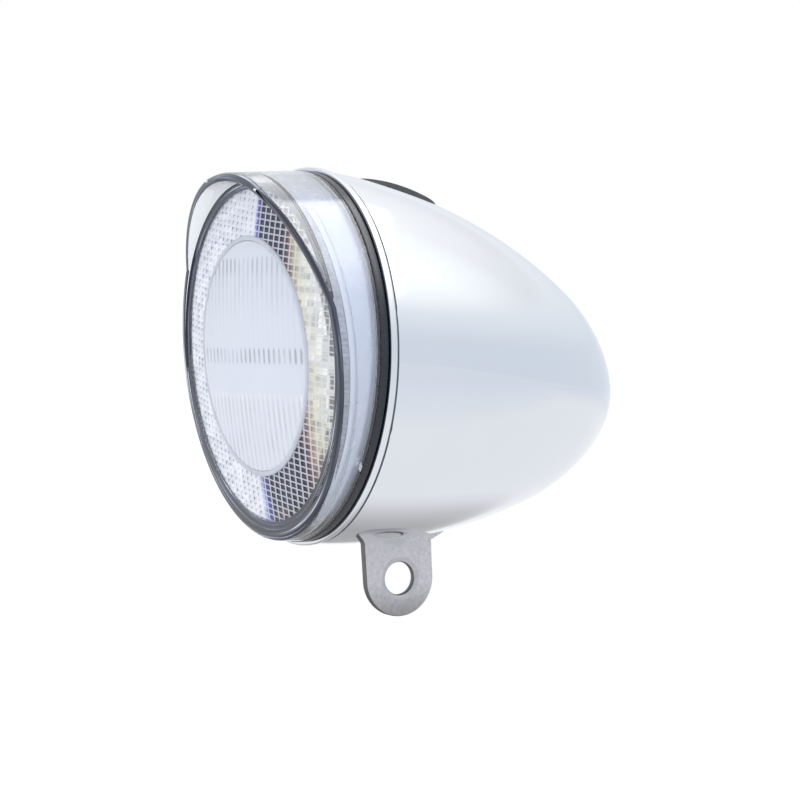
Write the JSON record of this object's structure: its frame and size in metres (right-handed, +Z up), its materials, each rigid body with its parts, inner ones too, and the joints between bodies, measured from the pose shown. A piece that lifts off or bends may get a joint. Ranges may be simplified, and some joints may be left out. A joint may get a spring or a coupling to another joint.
{
  "type": "bike headlight",
  "caption": "Chrome bullet bicycle headlight with a hooded clear lens, reflex ring, fluted beam lens, push button and a lug for a cross bolt; its front unit pulls out for the cells.",
  "frame": {"origin": "centre of the bolt hole in the lug", "axes": "+X along the bolt hole, -Y towards the lens, +Z up through the button side of the shell"},
  "size_m": [0.0734, 0.0872, 0.0882],
  "materials": {
    "chrome_shell": "polished chrome",
    "stainless": "satin",
    "button_rubber": "satin dark grey",
    "grey_plastic": "matt",
    "spring_steel": "bright",
    "clear_lens": "clear",
    "reflex_plastic": "clear prisms",
    "divider_plastic": "metallised grey",
    "beam_plastic": "clear, fluted",
    "mirror_bowl": "metallised",
    "chrome_carrier": "metallised",
    "black_rubber": "matt",
    "clear_clip": "clear",
    "led_yellow": "phosphor yellow",
    "white_board": "white lacquer",
    "sink_metal": "plain",
    "screw_steel": "plain",
    "green_board": "green lacquer",
    "switch_plastic": "black",
    "can_metal": "plain",
    "holder_plastic": "black",
    "cell_wrap": "blue-grey sleeve",
    "contact_brass": "plated"
  },
  "bodies": {
    "housing": {"shell": "chrome_shell", "lug_bracket": "stainless", "backing_plate": "stainless", "rivet_front": "stainless", "rivet_rear": "stainless", "button_guide": "grey_plastic", "return_spring": "spring_steel"},
    "button": {"button": "button_rubber"},
    "front_unit": {"lens": "clear_lens", "reflex_ring": "reflex_plastic", "divider_ring": "divider_plastic", "beam_lens": "beam_plastic", "reflector": "mirror_bowl", "carrier": "chrome_carrier", "gasket": "black_rubber", "snap_upper_right": "clear_clip", "snap_upper_left": "clear_clip", "snap_lower_left": "clear_clip", "snap_lower_right": "clear_clip", "led": "led_yellow", "led_board": "white_board", "heat_sink": "sink_metal", "bulkhead": "grey_plastic", "screw_right": "screw_steel", "screw_left": "screw_steel", "screw_low": "screw_steel", "control_board": "green_board", "switch_body": "switch_plastic", "switch_stem": "switch_plastic", "driver_chip": "switch_plastic", "capacitor": "can_metal", "holder_front": "holder_plastic", "holder_rear": "holder_plastic", "holder_spine": "holder_plastic", "cell_top": "cell_wrap", "cell_left": "cell_wrap", "cell_right": "cell_wrap", "plate_front": "contact_brass", "plate_rear": "contact_brass", "contact_top": "spring_steel", "contact_left": "spring_steel", "contact_right": "spring_steel"}
  },
  "joints": [
    {"name": "front_unit_pull", "type": "slide", "parent": "housing", "child": "front_unit", "axis": [0, -1, 0], "range_m": [0, 0.07]},
    {"name": "button_press", "type": "slide", "parent": "housing", "child": "button", "axis": [0, -0.2705, -0.9627], "range_m": [0, 0.0008], "stiffness_N_per_m": 2000}
  ]
}
